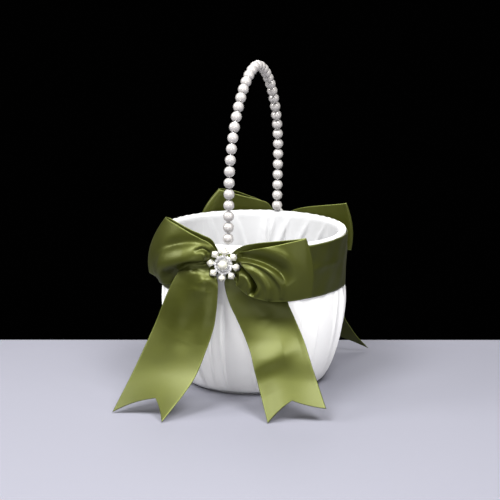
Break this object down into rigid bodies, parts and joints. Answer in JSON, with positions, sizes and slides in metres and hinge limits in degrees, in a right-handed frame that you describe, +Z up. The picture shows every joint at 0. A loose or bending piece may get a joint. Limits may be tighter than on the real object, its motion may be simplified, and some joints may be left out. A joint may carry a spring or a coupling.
{
  "type": "flower girl basket",
  "caption": "Small round satin-covered basket for petals, with a beaded wire handle, a wide ribbon round the rim, and a bow with long tails and a jewelled brooch at each handle root.",
  "frame": {"origin": "centre of the underside of the base, on the surface the basket stands on", "axes": "+Z up through the handle, -Y towards the front bow, +X to the right seen from the front; the handle's arch lies in the YZ plane"},
  "size_m": [0.155, 0.2307, 0.2442],
  "materials": {
    "satin_white": "soft white bridal satin, slightly glossy along the pleats",
    "lining_white": "white satin lining, gathered",
    "core_card": "stiff moulded tub, hidden",
    "ribbon_green": "olive moss green double-faced satin ribbon with woven edges",
    "pearl_white": "glossy imitation pearl, nacre-like",
    "pearl_cream": "cream imitation pearl",
    "setting_metal": "silver-plated casting",
    "crystal": "clear faceted rhinestone, foil backed",
    "wire_metal": "plain craft wire"
  },
  "bodies": {
    "basket": {"core_shell": "core_card", "base_board": "satin_white", "outer_cover": "satin_white", "lining": "lining_white", "floor_pad": "lining_white", "rim_fold": "satin_white", "ribbon_band_right": "ribbon_green", "ribbon_band_left": "ribbon_green", "front_bow_loop_right": "ribbon_green", "front_bow_loop_left": "ribbon_green", "front_bow_tail_right": "ribbon_green", "front_bow_tail_left": "ribbon_green", "front_bow_knot": "ribbon_green", "front_brooch_setting": "setting_metal", "front_brooch_centre_pearl": "pearl_white", "front_brooch_petal_pearls": "pearl_cream", "front_brooch_crystals": "crystal", "back_bow_loop_right": "ribbon_green", "back_bow_loop_left": "ribbon_green", "back_bow_tail_right": "ribbon_green", "back_bow_tail_left": "ribbon_green", "back_bow_knot": "ribbon_green", "back_brooch_setting": "setting_metal", "back_brooch_centre_pearl": "pearl_white", "back_brooch_petal_pearls": "pearl_cream", "back_brooch_crystals": "crystal", "handle_anchor_front": "wire_metal", "handle_anchor_back": "wire_metal"},
    "handle": {"handle_wire": "wire_metal", "handle_pearls": "pearl_white"}
  },
  "joints": [
    {"name": "handle_lean", "type": "hinge", "parent": "basket", "child": "handle", "pos_m": [0, 0, 0.1175], "axis": [0, 1, 0], "range_deg": [-15, 15], "stiffness_Nm_per_rad": 0.3}
  ]
}
